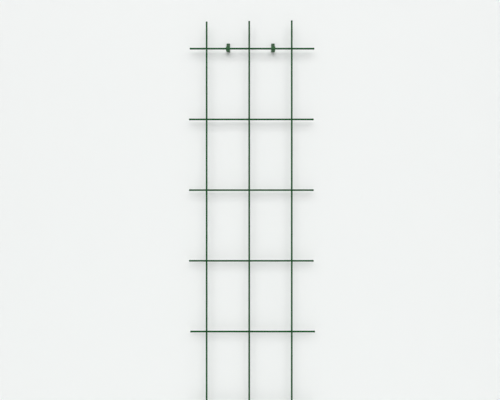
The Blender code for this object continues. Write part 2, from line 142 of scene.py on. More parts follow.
class TrellisHolders(bpy.types.PropertyGroup):
    """Sizes and colours of the moulded wall holders."""

    plate_thickness: length("Plate thickness", "Of the plate against the wall", 0.0035)
    plate_width: length("Plate width", "At the wall", extent_of(HOLDERS[0]).x - HOLDER_WIDENING)
    plate_above_screw: length("Plate above screw", "From the screw to the plate's top", 0.0065)
    plate_below_rail: length("Plate below rail", "From the rail's middle to the plate's foot", 0.0045)
    plate_corner: length("Plate corner", "Radius of the plate's top corners", 0.0016)
    screw_above_rail: length("Screw above rail", "From the rail's middle to the screw", 0.019)
    hook_width: length("Hook width", "Across the lip", extent_of(HOLDERS[0]).x)
    hook_thickness: length("Hook thickness", "Of the hook under the rail", 0.0037)
    lip_tip: length("Lip tip", "Thickness of the lip's tip", 0.0030)
    lip_height: length("Lip height", "From the rail's middle to the lip's top", 0.0058)
    lip_flare: length("Lip flare", "How far the lip leans out for the rail to drop in", 0.0007)
    lip_corner: length("Lip corner", "Radius of the lip's top corners", 0.0020)
    seat_gap: length("Seat gap", "Room between the rail and its seat", 0.0003)
    seat_back: length("Seat back", "Thickness of the crest behind the rail", 0.0030)
    arm_top: length("Arm top", "Height of the arm's top over the rail's middle", 0.0006)
    arm_fillet: length("Arm fillet", "Between the arm and the plate", 0.0040)
    pocket_height: length("Pocket height", "Of the hollow in each side of the arm", 0.0021)
    web: length("Web", "Thickness left between the two hollows", 0.0032)
    gusset: length("Gusset", "Thickness of the rib between arm and plate", 0.0026)
    gusset_rise: length("Gusset rise", "Height of the rib on the plate", 0.0110)
    edge: length("Edge rounding", "Radius of the moulded edges", 0.00045)
    flash: length("Parting line", "How far the mould's parting line stands proud", 0.00008)
    green: colour("Green", "The moulding's own colour", (0.019, 0.088, 0.025))
    faded: colour("Faded green", "Where sun has bleached it", (0.038, 0.120, 0.046))
    mottle: colour("Mottle", "The darker grain of the moulding", (0.010, 0.034, 0.015))
    scuffed: colour("Scuffs", "Pale marks from handling", (0.12, 0.21, 0.13))
    polished: colour("Polished seat", "Where the rail has rubbed it", (0.014, 0.044, 0.020))
    dust: colour("Dust", "What lies on it", (0.115, 0.130, 0.095))
    roughness: share("Roughness", "Of the clean moulding", 0.50)


class TrellisFixings(bpy.types.PropertyGroup):
    """Sizes and colours of the screws and wall plugs."""

    shank_diameter: length("Shank diameter", "Over the screw's thread", 0.0035)
    core_diameter: length("Core diameter", "Under the screw's thread", 0.0024)
    thread_pitch: length("Thread pitch", "From one turn to the next", 0.0016)
    thread_share: share("Threaded share", "Of the shank's length", 0.68)
    point_length: length("Point length", "Of the screw's tapered end", 0.006)
    head_diameter: length("Head diameter", "Across the screw's head", 0.0070)
    head_rim: length("Head rim", "Thickness of the head's edge", 0.0003)
    recess_span: length("Recess span", "Across the cross recess", 0.0036)
    recess_slot: length("Recess slot", "Width of one slot of the recess", 0.0008)
    recess_depth: length("Recess depth", "Of the cross recess", 0.0014)
    plug_diameter: length("Plug diameter", "Of the plain plug", 0.0060)
    plug_bore: length("Plug bore", "The hole through the plug", 0.0041)
    plug_collar: length("Plug collar", "How far the collar stands out", 0.0008)
    plug_ring: length("Plug ring", "How far a ring stands out", 0.0004)
    plug_split: length("Plug split", "Width of the slot in the plug", 0.0012)
    lacquer: colour("Lacquer", "Of the screw's head", (0.014, 0.062, 0.018))
    worn_lacquer: colour("Worn lacquer", "The lacquer's lighter grain", (0.030, 0.092, 0.036))
    zinc: colour("Zinc", "Bare plating on the screw", (0.52, 0.52, 0.50))
    tarnish: colour("Tarnish", "Where the plating has dulled", (0.34, 0.33, 0.29))
    nylon: colour("Nylon", "The plug's own colour", (0.36, 0.37, 0.36))
    flow_lines: colour("Flow lines", "Darker streaks in the nylon", (0.27, 0.28, 0.27))
    plaster: colour("Plaster dust", "What the drill left on the rings", (0.66, 0.64, 0.60))


class TrellisStage(bpy.types.PropertyGroup):
    """The wall, the floor, the lamp and the camera."""

    wall: colour("Wall", "Plain pale wall", (0.885, 0.895, 0.885))
    floor: colour("Floor", "Plain pale floor", (0.83, 0.84, 0.83))
    sky: FloatProperty(name="Sky", description="Light from all round", default=0.545, min=0.0)
    lamp: FloatProperty(
        name="Lamp", description="Power of the soft lamp above", default=395.0, min=0.0, unit="POWER"
    )
    distance: length("Camera distance", "From the rails to the camera", 1.65)
    lens: FloatProperty(name="Lens", description="Focal length", default=33.6, min=1.0, unit="CAMERA")
    roll: FloatProperty(name="Roll", description="The camera's tilt", default=0.0, subtype="ANGLE")


# Mesh building

CREASE_ANGLE = math.radians(38)  # edges that turn further are drawn sharp
BEVEL_ANGLE = math.radians(32)  # edges that turn further are rounded
BEVEL_SEGMENTS = 3
FEWEST_POINTS = 8  # a cut that leaves fewer than a box has, has failed
ARC_STEP, FEWEST_STEPS = 6, 3  # degrees between an arc's points at most, and its steps at least


def new_mesh(name, points, faces):
    """A mesh whose faces all look outwards, smooth but for its real edges."""
    mesh = bpy.data.meshes.new(name)
    mesh.from_pydata([tuple(map(float, point)) for point in points], [], faces)
    return finished(mesh)


def finished(mesh):
    """The mesh with its faces turned outwards and its sharp edges marked."""
    bm = bmesh.new()
    bm.from_mesh(mesh)
    bmesh.ops.recalc_face_normals(bm, faces=bm.faces)
    bm.to_mesh(mesh)
    bm.free()
    mesh.shade_smooth()
    mesh.set_sharp_from_angle(angle=CREASE_ANGLE)
    return mesh


def loft(name, rows, first_tip, last_tip):
    """A closed skin over rings of points, each of the same count, with a tip at each end."""
    count, around = len(rows), len(rows[0])
    points = [tuple(point) for row in rows for point in row] + [tuple(first_tip), tuple(last_tip)]
    first, last = count * around, count * around + 1
    faces = []
    for j in range(around):
        k = (j + 1) % around
        faces.append((first, k, j))
        faces.append((last, (count - 1) * around + j, (count - 1) * around + k))
        for i in range(count - 1):
            faces.append((i * around + j, i * around + k, (i + 1) * around + k, (i + 1) * around + j))
    return new_mesh(name, points, faces)


def all_round(sides):
    """Evenly spaced angles, once round."""
    return np.arange(sides) * 2 * math.pi / sides


def ring(angles, radius, height):
    """Points round Z at one height, with one radius for all of them or one for each."""
    x, y = radius * np.cos(angles), radius * np.sin(angles)
    return np.stack([x, y, np.full(len(angles), height)], axis=1)


def turned(name, profile, sides):
    """A solid turned about Z from (radius, height) points between its two tips, given first and last."""
    rows = [ring(all_round(sides), radius, height) for radius, height in profile[1:-1]]
    return loft(name, rows, (0, 0, profile[0][1]), (0, 0, profile[-1][1]))


def rod(name, radius, low, high, sides):
    """A plain round rod along Z."""
    return turned(name, [(0, low), (radius, low), (radius, high), (0, high)], sides)


def prism(name, outline, axis, low, high):
    """A closed outline pushed along X or Y from low to high. It lies across the other two axes."""
    place = {"X": lambda a, b, c: (c, a, b), "Y": lambda a, b, c: (a, c, b)}[axis]
    points = [place(a, b, low) for a, b in outline] + [place(a, b, high) for a, b in outline]
    count = len(outline)
    faces = [tuple(range(count)), tuple(range(2 * count - 1, count - 1, -1))]
    for i in range(count):
        j = (i + 1) % count
        faces.append((i, j, count + j, count + i))
    return new_mesh(name, points, faces)


def side_prism(name, outline, width, middle=0.0):
    """A side outline in (distance from the wall, height), as wide as given along X."""
    turned_round = [(-reach, height) for reach, height in outline]
    return prism(name, turned_round, "X", middle - width / 2, middle + width / 2)


def arc(centre, radius, start, end):
    """Points of a circle from one angle to another, in degrees, the way the angles run."""
    steps = max(FEWEST_STEPS, math.ceil(abs(end - start) / ARC_STEP))
    points = []
    for index in range(steps + 1):
        angle = math.radians(start + (end - start) * index / steps)
        points.append((centre[0] + radius * math.cos(angle), centre[1] + radius * math.sin(angle)))
    return points


def joined(meshes):
    """Several closed skins in one mesh."""
    bm = bmesh.new()
    for mesh in meshes:
        bm.from_mesh(mesh)
    bm.to_mesh(meshes[0])
    bm.free()
    return meshes[0]


def worked(mesh, *steps):
    """The mesh after a run of steps: ("UNION" or "DIFFERENCE", other mesh), or ("BEVEL", width)."""
    blank = bpy.data.objects.new("blank", mesh)
    bpy.context.scene.collection.objects.link(blank)
    helpers = [blank]
    for kind, value in steps:
        if kind == "BEVEL":
            modifier = blank.modifiers.new("rounding", "BEVEL")
            modifier.width = value
            modifier.segments = BEVEL_SEGMENTS
            modifier.limit_method = "ANGLE"
            modifier.angle_limit = BEVEL_ANGLE
            continue
        tool = bpy.data.objects.new("tool", value)
        bpy.context.scene.collection.objects.link(tool)
        helpers.append(tool)
        modifier = blank.modifiers.new("cut", "BOOLEAN")
        modifier.operation = kind
        modifier.solver = "EXACT"
        modifier.object = tool
    bpy.context.view_layer.update()
    graph = bpy.context.evaluated_depsgraph_get()
    result = bpy.data.meshes.new_from_object(blank.evaluated_get(graph), depsgraph=graph)
    result.name = mesh.name
    for helper in helpers:
        bpy.data.objects.remove(helper)
    if len(result.vertices) < FEWEST_POINTS:
        raise RuntimeError(f"{mesh.name}: a cut left nothing")
    return finished(result)


def add_piece(prefix, mesh, material, node, body, place=(0, 0, 0)):
    """A piece of the trellis, in its place, riding on its body and standing for its solid."""
    mesh.materials.clear()
    mesh.materials.append(material)
    piece = bpy.data.objects.new(prefix + node, mesh)
    bpy.context.scene.collection.objects.link(piece)
    piece.location = place
    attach(piece, body)
    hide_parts(node)


# Material building

SEAT_POLISH = (0.0004, 0.0010)  # past the seat: where the polish starts to fade, and ends
RECESS_WEAR = (0.0002, 0.0005)  # below the head's face: where the wear starts, and where it is whole
WEAR_REACH = 0.0022  # how far it reaches from the screw's middle line
LACQUER_DEPTH = 0.0015  # where the last lacquer ends, behind the wall's face


class Nodes:
    """Short calls for the shader nodes that the trellis's finishes and its sky are built from."""

    def __init__(self, owner):
        owner.use_nodes = True
        self.tree = owner.node_tree

    def feed(self, socket, value):
        """Links a socket to another, or sets it to a number, a vector or a colour."""
        if isinstance(value, bpy.types.NodeSocket):
            self.tree.links.new(value, socket)
        elif isinstance(value, (int, float)) or len(value) == len(socket.default_value):
            socket.default_value = value
        else:
            socket.default_value = (*value, 1.0)

    def node(self, kind, inputs, output=0, **settings):
        """One output of a new node."""
        made = self.tree.nodes.new(kind)
        for name, value in settings.items():
            setattr(made, name, value)
        for name, value in inputs.items():
            self.feed(made.inputs[name], value)
        return made.outputs[output]

    def here(self):
        """Where a point lies on the piece."""
        return self.node("ShaderNodeTexCoord", {}, "Object")

    def apart(self, here):
        """The same point, moved by the piece's own place, so that no two pieces share a pattern."""
        place = self.node("ShaderNodeObjectInfo", {}, "Location")
        return self.node("ShaderNodeVectorMath", {0: here, 1: place}, operation="ADD")

    def noise(self, where, scale=1.0, detail=2.0, stretch=None):
        """Noise with so many features in a metre, or so many along each axis."""
        if stretch:
            where = self.node("ShaderNodeMapping", {"Vector": where, "Scale": stretch})
        return self.node("ShaderNodeTexNoise", {"Vector": where, "Scale": scale, "Detail": detail})

    def ranged(self, value, low, high, to_low=0.0, to_high=1.0):
        """Goes from to_low to to_high as the value goes from low to high."""
        inputs = {"Value": value, "From Min": low, "From Max": high, "To Min": to_low, "To Max": to_high}
        return self.node("ShaderNodeMapRange", inputs)

    def combined(self, operation, a, b):
        """Two values, put together so."""
        return self.node("ShaderNodeMath", {0: a, 1: b}, operation=operation)

    def sum(self, a, b):
        """Two values added."""
        return self.combined("ADD", a, b)

    def times(self, a, b):
        """Two values multiplied."""
        return self.combined("MULTIPLY", a, b)

    def most(self, a, b):
        """The greater of two values."""
        return self.combined("MAXIMUM", a, b)

    def layers(self, shade, *coats):
        """A colour under others, given as (how much of it shows, colour), the last one on top."""
        for cover, tint in coats:
            inputs = {0: cover, 6: shade, 7: tint}
            shade = self.node("ShaderNodeMix", inputs, 2, data_type="RGBA")
        return shade

    def relief(self, *patterns):
        """Bumps, given as (pattern, depth, strength), each on the one before."""
        normal = None
        for height, depth, strength in patterns:
            inputs = {"Height": height, "Distance": depth, "Strength": strength}
            if normal is not None:
                inputs["Normal"] = normal
            normal = self.node("ShaderNodeBump", inputs)
        return normal

    def facing_up(self):
        """1 on faces that look straight up, 0 on those that look sideways or down."""
        normal = self.node("ShaderNodeNewGeometry", {}, "Normal")
        return self.node("ShaderNodeSeparateXYZ", {0: normal}, "Z")


class Finish(Nodes):
    """A material of one of the trellis's pieces."""

    def __init__(self, name):
        self.material = bpy.data.materials.new(name)
        super().__init__(self.material)
        self.shader = self.tree.nodes["Principled BSDF"]

    def set(self, **sockets):
        """The material, once these sockets of its shader are set or linked."""
        for name, value in sockets.items():
            self.feed(self.shader.inputs[name.replace("_", " ")], value)
        return self.material


def coating(name, wires, stretch):
    """Green plastic drawn over wire: orange peel, drag marks, pits painted darker as painted shade,
    rubbed spots, sun, dust, and dirt with painted shade at the welds.
    """
    f = Finish(name)
    here = f.here()
    cloud = f.noise(here, scale=9.0, detail=3.0)
    mottle = f.noise(here, scale=420.0, detail=3.0)
    dimples = f.noise(here, scale=1100.0)
    drag = f.noise(here, detail=3.0, stretch=stretch)
    scratch = f.times(
        f.ranged(f.noise(here, scale=1.9, detail=4.0, stretch=stretch), 0.60, 0.68),
        f.ranged(f.noise(here, scale=60.0), 0.48, 0.62),
    )
    # the pinholes: sunk in the bump, and painted darker as painted shade
    pits = f.ranged(f.noise(here, scale=1600.0, detail=0.0), 0.76, 0.86)
    rubbed = f.ranged(f.noise(here, scale=130.0, detail=4.0), 0.60, 0.68)
    dusty = f.times(f.ranged(f.facing_up(), 0.2, 1.0, 0.0, 0.18), f.ranged(mottle, 0.35, 0.7))
    # dirt and painted shade: darker where the wires meet at the welds
    weld = f.node("ShaderNodeAttribute", {}, "Fac", attribute_name="weld")
    dirt_and_crease_shade = f.times(weld, f.ranged(mottle, 0.30, 0.62, 0.25, 0.9))
    shade = f.layers(
        wires.green,
        (f.ranged(cloud, 0.35, 0.75, 0.05, 0.70), wires.faded),
        (f.ranged(drag, 0.3, 0.7, 0.0, 0.45), wires.faded),
        (f.ranged(mottle, 0.40, 0.75, 0.0, 0.45), wires.mottle),
        (f.times(rubbed, 0.45), wires.rubbed),
        (f.times(scratch, 0.55), wires.scratched),
        # painted shade in the pinholes
        (f.times(pits, 0.5), wires.pit_shade),
        (dusty, wires.dust),
        # dirt and painted shade at the welds
        (dirt_and_crease_shade, wires.grime_and_crease_shade),
    )
    sunk = f.ranged(pits, 0.0, 1.0, 1.0, 0.0)
    rough = f.ranged(drag, 0.2, 0.8, wires.roughness - 0.06, wires.roughness + 0.10)
    rough = f.sum(rough, f.times(f.sum(dirt_and_crease_shade, dusty), 0.35))
    rough = f.sum(rough, f.times(f.sum(rubbed, scratch), 0.12))
    normal = f.relief(
        (dimples, 0.00016, 0.6),
        (drag, 0.00012, 0.5),
        (scratch, 0.00004, 0.5),
        (sunk, 0.00006, 0.7),
    )
    return f.set(Base_Color=shade, Roughness=rough, Normal=normal, Specular_IOR_Level=0.08)


def moulding(name, holders, wires):
    """Moulded green plastic: eroded mould texture, flow lines, a rubbed seat, dust on what looks up."""
    f = Finish(name)
    here = f.here()
    unique = f.apart(here)
    cloud = f.noise(unique, scale=70.0, detail=3.0)
    grain = f.noise(unique, scale=3800.0)
    flow = f.noise(unique, stretch=(90.0, 260.0, 900.0))
    scuff = f.ranged(f.noise(unique, detail=4.0, stretch=(2600.0, 500.0, 240.0)), 0.62, 0.72)
    across = f.node("ShaderNodeVectorMath", {0: here, 1: (0.0, 1.0, 1.0)}, operation="MULTIPLY")
    rail = (0.0, -wires.stand_off, 0.0)
    reach = f.node("ShaderNodeVectorMath", {0: across, 1: rail}, "Value", operation="DISTANCE")
    fades, ends = (seat_radius(holders, wires) + past for past in SEAT_POLISH)
    rubbed = f.times(f.ranged(reach, fades, ends, 1.0, 0.0), f.ranged(grain, 0.3, 0.6, 0.3, 1.0))
    dusty = f.times(f.ranged(f.facing_up(), 0.25, 0.95, 0.0, 0.55), f.ranged(cloud, 0.3, 0.7))
    shade = f.layers(
        holders.green,
        (f.ranged(cloud, 0.35, 0.7, 0.05, 0.55), holders.faded),
        (f.ranged(flow, 0.4, 0.7, 0.0, 0.25), holders.faded),
        (f.ranged(grain, 0.4, 0.8, 0.0, 0.20), holders.mottle),
        (f.times(scuff, 0.3), holders.scuffed),
        (f.times(rubbed, 0.4), holders.polished),
        (dusty, holders.dust),
    )
    rough = f.ranged(grain, 0.2, 0.8, holders.roughness - 0.05, holders.roughness + 0.14)
    rough = f.sum(rough, f.times(rubbed, -0.16))
    rough = f.sum(rough, f.times(dusty, 0.4))
    normal = f.relief((grain, 0.00002, 0.6), (flow, 0.00005, 0.3), (scuff, 0.00002, 0.5))
    return f.set(Base_Color=shade, Roughness=rough, Normal=normal, Specular_IOR_Level=0.25)


def lacquered_screw(name, fixings):
    """Green lacquer on the head, rubbed off in its recess, and bare zinc plating on the thread."""
    f = Finish(name)
    here = f.here()
    unique = f.apart(here)
    depth = f.node("ShaderNodeSeparateXYZ", {0: here}, "Y")
    flat = f.node("ShaderNodeVectorMath", {0: here, 1: (1.0, 0.0, 1.0)}, operation="MULTIPLY")
    radius = f.node("ShaderNodeVectorMath", {0: flat}, "Value", operation="LENGTH")
    grain = f.noise(unique, scale=1900.0, detail=3.0)
    cloud = f.noise(unique, scale=330.0)
    starts, whole = (below - SCREW_FACE for below in RECESS_WEAR)
    near = f.ranged(radius, fixings.recess_span / 2, WEAR_REACH, 1.0, 0.0)
    worn = f.times(f.times(f.ranged(depth, starts, whole), near), f.ranged(grain, 0.50, 0.60))
    bare = f.most(worn, f.ranged(depth, 0.0, LACQUER_DEPTH))
    plating = f.layers(fixings.zinc, (f.ranged(cloud, 0.3, 0.7), fixings.tarnish))
    lacquer = f.layers(fixings.lacquer, (f.ranged(grain, 0.35, 0.75, 0.0, 0.5), fixings.worn_lacquer))
    shade = f.layers(lacquer, (bare, plating))
    rough = f.ranged(grain, 0.25, 0.75, 0.30, 0.46)
    normal = f.relief((grain, 0.00003, 0.4))
    return f.set(Base_Color=shade, Metallic=bare, Roughness=rough, Normal=normal, IOR=1.5)


def nylon(name, fixings):
    """Grey nylon with a faint flow pattern, mould texture and plaster dust caught on its rings."""
    f = Finish(name)
    unique = f.apart(f.here())
    cloud = f.noise(unique, scale=150.0, detail=3.0)
    grain = f.noise(unique, scale=2600.0)
    flow = f.noise(unique, stretch=(700.0, 60.0, 700.0))
    dust = f.times(f.ranged(cloud, 0.50, 0.68, 0.0, 0.6), f.ranged(grain, 0.3, 0.6))
    shade = f.layers(
        fixings.nylon,
        (f.ranged(flow, 0.3, 0.7, 0.0, 0.45), fixings.flow_lines),
        (dust, fixings.plaster),
    )
    rough = f.sum(f.ranged(grain, 0.2, 0.8, 0.44, 0.60), f.times(dust, 0.3))
    normal = f.relief((grain, 0.00002, 0.5), (flow, 0.00004, 0.3))
    return f.set(Base_Color=shade, Roughness=rough, Normal=normal, IOR=1.53)


# The wires

TIP_CURVE = 2 / 2.4  # 1 would be a round tip, less is blunter
TIP_RINGS, BEAD_RINGS = 8, 6
RING_SPACING, LEAST_SPACING = 0.006, 0.0004
WELD_RINGS = (0.0, 0.0012, 0.0026, 0.0042, 0.0065)  # how far from a weld a wire has rings
COATING_WAVES = ((0.047, 0), (0.023, 1), (0.101, 1), (0.0145, 2), (0.33, 1))  # (length, times round)
USUAL_WAVE = 2.2  # how high the waves together usually are
CALM_REACH = 0.007  # nearer to a weld than this, the coating is even
DRIP_WIDTH = 0.42  # as a share of the wire's radius
SAG = 0.6  # of the bead's height, under a rail's end
UPRIGHT_SEED, RAIL_SEED, COLLAR_SEEDS = 11, 31, 100  # the last is the step from rail to rail

COLLAR_SIDES, COLLAR_STEPS = 60, 9
COLLAR_WAVES = ((2, 0.14), (3, 0.10), (5, 0.05))  # (times round, height as a share of the fillet)
COLLAR_START = 6  # where a wave starts at most, in radians
COLLAR_SINK = 0.0003  # how far the fillet's two edges run into the wires
COLLAR_TIPS = (-0.58, -0.30)  # where its skin closes, on the way to the upright
HALVINGS = 50  # of the span in which the ball's place is looked for
SAFE = 1e-9  # keeps a division from being by nothing

WELD_SINK = 0.0004  # from the front of a rail back to its weld
# how far from a weld the dirt and painted shade reach
DIRT_AND_SHADE_REACH = 0.0042
HOLLOW_SHORT = 0.00006  # a rail's hollow is this much less than the upright, so that no gap shows
HOLLOW_REACH, HOLLOW_SIDES = 0.012, 96
ACROSS, ALONG = 700.0, 16.0  # how often the drag marks repeat in a metre


def end_profile(radius, wires):
    """A coated end as (distance from the tip, radius): a blunt dome, then a bead that dies away."""
    profile = []
    for step in range(1, TIP_RINGS + 1):
        angle = math.pi / 2 * step / TIP_RINGS
        depth = wires.dome * (1 - math.cos(angle) ** TIP_CURVE)
        profile.append((depth, (radius + wires.bead) * math.sin(angle) ** TIP_CURVE))
    for step in range(1, BEAD_RINGS + 1):
        depth = wires.dome + (wires.bead_length - wires.dome) * step / BEAD_RINGS
        left = 0.5 + 0.5 * math.cos(math.pi * step / BEAD_RINGS)
        profile.append((depth, radius + wires.bead * left))
    return profile


def body_stations(half, welds, start):
    """Heights of a wire's rings between its two ends, closer together at the welds."""
    wanted = list(np.arange(start - half, half - start, RING_SPACING)[1:])
    for weld in welds:
        wanted += [weld + side * gap for side in (-1, 1) for gap in WELD_RINGS]
    kept = []
    for height in sorted(wanted):
        inside = abs(height) < half - start - LEAST_SPACING
        if inside and (not kept or height - kept[-1] > LEAST_SPACING):
            kept.append(height)
    return kept


def wire_mesh(name, radius, full_length, welds, wires, seed, drip):
    """A wire along Z, with a coating that isn't quite even."""
    draw = random.Random(seed)
    waves = [(span, turns, draw.uniform(0, 2 * math.pi)) for span, turns in COATING_WAVES]
    half = full_length / 2
    end = end_profile(radius, wires)
    rings = [(depth - half, across) for depth, across in end]
    rings += [(height, radius) for height in body_stations(half, welds, wires.bead_length)]
    rings += [(half - depth, across) for depth, across in reversed(end)]
    angles = all_round(wires.sides)
    rows = []
    for height, across in rings:
        calm = min(1.0, (half - abs(height)) / wires.bead_length)
        for weld in welds:
            calm *= 1 - math.exp(-(((height - weld) / CALM_REACH) ** 2))
        uneven = sum(
            np.sin(2 * math.pi * height / span + turns * angles + at) for span, turns, at in waves
        )
        outside = across + wires.ripple * calm * uneven / USUAL_WAVE
        depth = half - abs(height)
        if drip and height < 0:
            height -= wires.drip * math.exp(-((across / (DRIP_WIDTH * radius)) ** 2))
        if not drip and depth < wires.bead_length:
            sagged = math.sin(math.pi * depth / wires.bead_length)
            outside = outside + SAG * wires.bead * sagged * np.maximum(0, -np.sin(angles))
        rows.append(ring(angles, outside, height))
    low = -half - (wires.drip if drip else 0)
    return loft(name, rows, (0, 0, low), (0, 0, half))


def weld_collar(at, offset, upright_radius, rail_radius, fillet, seed):
    """The coating's fillet round the weld of a rail along X and an upright along Z, as a closed skin.

    A ball that rolls round the weld touches both wires. The fillet is the skin between the two lines
    of touch, and its radius varies a little on the way round. The skin closes inside the two wires.
    """
    draw = random.Random(seed)
    turn = all_round(COLLAR_SIDES)
    uneven = 1
    for times, height in COLLAR_WAVES:
        uneven = uneven + height * np.sin(times * turn + draw.uniform(0, COLLAR_START))
    ball = fillet * uneven
    reach_u, reach_r = upright_radius + ball, rail_radius + ball
    cos, sin = np.abs(np.cos(turn)) + SAFE, np.abs(np.sin(turn)) + SAFE
    none = np.zeros(COLLAR_SIDES)
    low, high = none, np.minimum(reach_u / cos, reach_r / sin)
    for _ in range(HALVINGS):
        guess = (low + high) / 2
        deep = np.sqrt(np.maximum(0, reach_u**2 - (guess * cos) ** 2))
        deep += np.sqrt(np.maximum(0, reach_r**2 - (guess * sin) ** 2))
        low, high = np.where(deep > offset, guess, low), np.where(deep > offset, high, guess)
    x, z = low * np.cos(turn), low * np.sin(turn)
    y = -np.sqrt(np.maximum(0, reach_r**2 - z**2))
    centre = np.stack([x, y, z], axis=1)
    to_upright = np.stack([-x, -offset - y, none], axis=1) / reach_u[:, None]
    to_rail = np.stack([none, -y, -z], axis=1) / reach_r[:, None]
    open_angle = np.arccos(np.clip((to_upright * to_rail).sum(1), -1, 1))[:, None]
    rows = [centre + (ball + COLLAR_SINK)[:, None] * to_upright]
    for step in range(COLLAR_STEPS + 1):
        part = step / COLLAR_STEPS
        way = np.sin((1 - part) * open_angle) * to_upright + np.sin(part * open_angle) * to_rail
        rows.append(centre + ball[:, None] * way / np.sin(open_angle))
    rows.append(centre + (ball + COLLAR_SINK)[:, None] * to_rail)
    tips = [(at, tip * offset, 0) for tip in COLLAR_TIPS]
    return loft("collar", [row + np.array((at, 0, 0)) for row in rows], *tips)


def add_wire(mesh, wires, material, node, place):
    """A wire in its place, which also stores how near each point is to a weld, for the dirt and painted
    shade there.
    """
    mesh.transform(Matrix.Translation(place))
    points = np.zeros(len(mesh.vertices) * 3)
    mesh.vertices.foreach_get("co", points)
    points = points.reshape(-1, 3)
    near = np.zeros(len(points))
    touch = -wires.stand_off - wires.rail_diameter / 2 + WELD_SINK
    for line in UPRIGHT_LINES:
        for height in RAIL_HEIGHTS:
            away = np.linalg.norm(points - Vector((line.x, touch, height)), axis=1)
            near = np.maximum(near, np.exp(-((away / DIRT_AND_SHADE_REACH) ** 2)))
    mesh.attributes.new("weld", "FLOAT", "POINT").data.foreach_set("value", near)
    add_piece("coated_", mesh, material, node, "panel")


def weld_hollow(at, offset, upright_radius):
    """What is cut from a rail for an upright: a hair less than the upright."""
    radius = upright_radius - HOLLOW_SHORT
    hollow = rod("hollow", radius, -HOLLOW_REACH, HOLLOW_REACH, HOLLOW_SIDES)
    hollow.transform(Matrix.Translation((at, -offset, 0)))
    return hollow


class TRELLIS_OT_uprights(bpy.types.Operator):
    """Build the three coated uprights"""

    bl_idname = "trellis.uprights"
    bl_label = "Uprights"
    bl_options = {"REGISTER", "UNDO"}

    def execute(self, context):
        wires = context.scene.trellis_wires
        material = coating("upright_coating", wires, (ACROSS, ACROSS, ALONG))
        radius = wires.upright_diameter / 2
        for seed, node in enumerate(UPRIGHTS, UPRIGHT_SEED):
            middle = middle_of(node)
            welds = [height - middle.z for height in RAIL_HEIGHTS]
            mesh = wire_mesh(node, radius, extent_of(node).z, welds, wires, seed, True)
            add_wire(mesh, wires, material, node, middle)
        return {"FINISHED"}


class TRELLIS_OT_rails(bpy.types.Operator):
    """Build the cross rails, with their welds to the uprights"""

    bl_idname = "trellis.rails"
    bl_label = "Cross rails"
    bl_options = {"REGISTER", "UNDO"}

    def execute(self, context):
        wires = context.scene.trellis_wires
        material = coating("rail_coating", wires, (ALONG, ACROSS, ACROSS))
        radius, upright = wires.rail_diameter / 2, wires.upright_diameter / 2
        offset = -UPRIGHT_LINES[0].y - wires.stand_off
        along_x = Matrix(((0, 0, 1, 0), (1, 0, 0, 0), (0, 1, 0, 0), (0, 0, 0, 1)))
        for index, node in enumerate(RAILS):
            middle = middle_of(node)
            crossings = [line.x - middle.x for line in UPRIGHT_LINES]
            seed = RAIL_SEED + index
            mesh = wire_mesh(node, radius, extent_of(node).x, crossings, wires, seed, False)
            mesh.transform(along_x)
            collars = [
                weld_collar(at, offset, upright, radius, wires.fillet, seed)
                for seed, at in enumerate(crossings, COLLAR_SEEDS * index)
            ]
            hollows = [weld_hollow(at, offset, upright) for at in crossings]
            mesh = worked(mesh, ("UNION", joined(collars)), ("DIFFERENCE", joined(hollows)))
            add_wire(mesh, wires, material, node, (middle.x, -wires.stand_off, middle.z))
        return {"FINISHED"}


# The wall holders

BACK = 0.004  # how far blanks and cutters run past what they make
CREST_RISE = 0.0005  # of the crest behind the rail, over the rail
GUSSET_SHORT = 0.0042  # from the crest's back to the gusset's foot
GUSSET_STEPS, GUSSET_EDGE = 16, 0.0004
POCKET_SHORT = 0.0018  # from the plate to the arm's hollows
MARK_RADIUS, MARK_HALF, MARK_DEPTH, MARK_SIDES = 0.0006, 0.0005, 0.00012, 24  # the ejectors' marks
FLASH_WIDTH = 0.00022
SCREW_ROOM = 0.0003  # round the shank in its hole
SINK_ROOM = 0.0005  # round the head
SINK_EDGE = (0.00025, 0.0001)  # how far the hole's edge is eased, across and in
RELIEF_ROOM, RELIEF_DEPTH = 0.0014, 0.0005  # round the plug's head, and into the plate
HOLE_SIDES = 64


def seat_radius(holders, wires):
    """From the rail's middle line to the seat that it lies in."""
    return wires.rail_diameter / 2 + holders.seat_gap


def underside_slope(holders, wires):
    """How steeply the arm's straight underside falls towards the hook that it is tangent to."""
    hook = seat_radius(holders, wires) + holders.hook_thickness
    slope = math.atan2(holders.plate_below_rail, wires.stand_off)
    return slope - math.asin(hook / math.hypot(wires.stand_off, holders.plate_below_rail))


def holder_outline(holders, wires, proud=0.0):
    """The holder from the side, as (distance from the wall, height), or as much bigger as asked."""
    seat = seat_radius(holders, wires)
    hook = seat + holders.hook_thickness
    rail = (wires.stand_off, 0)
    tip_radius = holders.lip_tip / 2
    tip = (wires.stand_off + seat + holders.lip_flare + tip_radius, holders.lip_height - tip_radius)
    crest_radius = holders.seat_back / 2
    crest_top = wires.rail_diameter / 2 + CREST_RISE
    crest = (wires.stand_off - seat - crest_radius, crest_top - crest_radius)
    fillet = holders.arm_fillet
    inner = (holders.plate_thickness + fillet, holders.arm_top + fillet)
    top = holders.screw_above_rail + holders.plate_above_screw
    slope = math.degrees(underside_slope(holders, wires))
    outline = [(-BACK, -holders.plate_below_rail - proud), (0, -holders.plate_below_rail - proud)]
    outline += arc(rail, hook + proud, slope - 90, 0)
    outline += arc(tip, tip_radius + proud, 0, 180)
    outline += arc(rail, seat - proud, 0, -180)
    outline += arc(crest, crest_radius + proud, 0, 180)
    outline += [(wires.stand_off - seat - holders.seat_back - proud, holders.arm_top + proud)]
    outline += arc(inner, fillet - proud, -90, -180)
    outline += [(holders.plate_thickness + proud, top + proud), (-BACK, top + proud)]
    return outline


def half_width(holders, lip_front, reach):
    """Half the holder's width at a distance from the wall: it widens evenly towards the lip."""
    return (holders.plate_width + (holders.hook_width - holders.plate_width) * reach / lip_front) / 2


